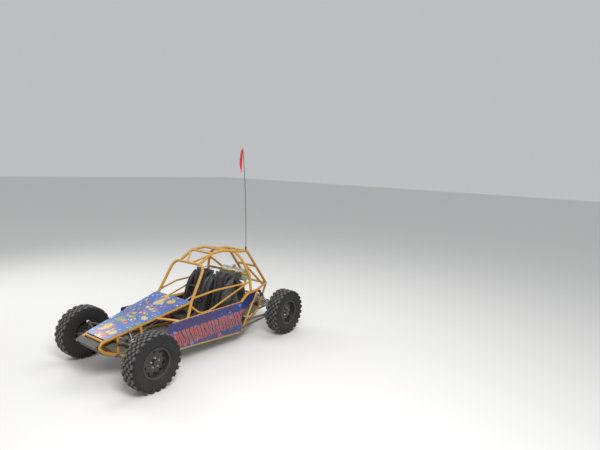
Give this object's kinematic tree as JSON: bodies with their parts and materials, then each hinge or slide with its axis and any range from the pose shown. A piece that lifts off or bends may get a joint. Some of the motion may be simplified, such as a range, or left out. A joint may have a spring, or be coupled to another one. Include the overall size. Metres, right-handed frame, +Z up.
{
  "type": "dune buggy",
  "caption": "Open tube-frame sand buggy with a flat painted hood, two bucket seats, an engine ahead of the rear axle, knobbly tyres and a flag on a whip.",
  "frame": {"origin": "on the ground, at the centre of the bounding box seen from above", "axes": "+Z up, -Y forward, +X towards the car's left"},
  "size_m": [1.861, 3.5844, 3.1746],
  "materials": {
    "gold_frame_paint": "satin, dusty",
    "hood_paint": "gloss, hand painted",
    "side_paint": "satin, hand painted",
    "sheet_aluminium": "worn mill finish",
    "seat_vinyl": "stitched vinyl",
    "black_arms": "satin black, dusty",
    "machined_steel": "machined",
    "grip_rubber": "matte grip",
    "damper_spring": "powder coat",
    "cast_alloy": "sand cast",
    "shroud_black": "satin black",
    "filter_metal": "bright plate",
    "exhaust_steel": "heat stained",
    "rim_black": "satin black, dusty",
    "tyre_rubber": "dusty rubber",
    "whip_fibreglass": "smooth",
    "flag_cloth": "thin nylon"
  },
  "bodies": {
    "chassis": {"cooling_shroud": "shroud_black", "cross_bars": "gold_frame_paint", "dampers": "damper_spring", "dash": "sheet_aluminium", "door_tubes": "gold_frame_paint", "engine_banks": "cast_alloy", "engine_block": "cast_alloy", "exhaust": "exhaust_steel", "firewall": "sheet_aluminium", "flag": "flag_cloth", "floor_pan": "sheet_aluminium", "front_arms": "black_arms", "fuel_tank": "sheet_aluminium", "hood": "hood_paint", "hood_rails": "gold_frame_paint", "intakes": "filter_metal", "lower_rails": "gold_frame_paint", "main_hoop": "gold_frame_paint", "nose_posts": "gold_frame_paint", "nose_skid": "sheet_aluminium", "rack_housing": "machined_steel", "rear_arms": "black_arms", "rear_bars": "gold_frame_paint", "rear_panels": "side_paint", "rear_stays": "gold_frame_paint", "roof_bars": "gold_frame_paint", "roof_rails": "gold_frame_paint", "seat_feet": "sheet_aluminium", "seats": "seat_vinyl", "side_panels": "side_paint", "side_rails": "gold_frame_paint", "tow_bar": "gold_frame_paint", "transaxle": "cast_alloy", "whip": "whip_fibreglass", "windscreen_hoop": "gold_frame_paint"},
    "knuckle_left": {"knuckle_left": "black_arms"},
    "knuckle_right": {"knuckle_right": "black_arms"},
    "wheel_front_left": {"rim_front_left": "rim_black", "tyre_front_left": "tyre_rubber"},
    "wheel_front_right": {"rim_front_right": "rim_black", "tyre_front_right": "tyre_rubber"},
    "wheel_rear_left": {"rim_rear_left": "rim_black", "tyre_rear_left": "tyre_rubber", "half_shaft_left": "machined_steel"},
    "wheel_rear_right": {"rim_rear_right": "rim_black", "tyre_rear_right": "tyre_rubber", "half_shaft_right": "machined_steel"},
    "steering_wheel": {"steering_wheel": "grip_rubber", "steering_shaft": "machined_steel"},
    "steering_rack": {"steering_rack": "black_arms"}
  },
  "joints": [
    {"name": "steer_left", "type": "hinge", "parent": "chassis", "child": "knuckle_left", "pos_m": [0.655, -1.3588, 0.381], "axis": [0, 0, 1], "range_deg": [-28, 28]},
    {"name": "steer_right", "type": "hinge", "parent": "chassis", "child": "knuckle_right", "pos_m": [-0.655, -1.3588, 0.381], "axis": [0, 0, 1], "range_deg": [-28, 28]},
    {"name": "steering_wheel_turn", "type": "hinge", "parent": "chassis", "child": "steering_wheel", "pos_m": [0.235, -0.1438, 0.905], "axis": [0.0712, 0.9239, 0.3761], "range_deg": [-252, 252]},
    {"name": "rack_slide", "type": "slide", "parent": "chassis", "child": "steering_rack", "axis": [1, 0, 0], "range_m": [-0.055, 0.055]},
    {"name": "spin_front_left", "type": "hinge", "parent": "knuckle_left", "child": "wheel_front_left", "pos_m": [0.813, -1.3588, 0.381], "axis": [1, 0, 0], "continuous": true},
    {"name": "spin_front_right", "type": "hinge", "parent": "knuckle_right", "child": "wheel_front_right", "pos_m": [-0.813, -1.3588, 0.381], "axis": [1, 0, 0], "continuous": true},
    {"name": "spin_rear_left", "type": "hinge", "parent": "chassis", "child": "wheel_rear_left", "pos_m": [0.766, 1.4112, 0.381], "axis": [1, 0, 0], "continuous": true},
    {"name": "spin_rear_right", "type": "hinge", "parent": "chassis", "child": "wheel_rear_right", "pos_m": [-0.766, 1.4112, 0.381], "axis": [1, 0, 0], "continuous": true}
  ],
  "couplings": [
    {"joint": "steer_right", "follows": "steer_left", "ratio": 1},
    {"joint": "steering_wheel_turn", "follows": "steer_left", "ratio": 9},
    {"joint": "rack_slide", "follows": "steer_left", "m_per_rad": -0.112}
  ]
}
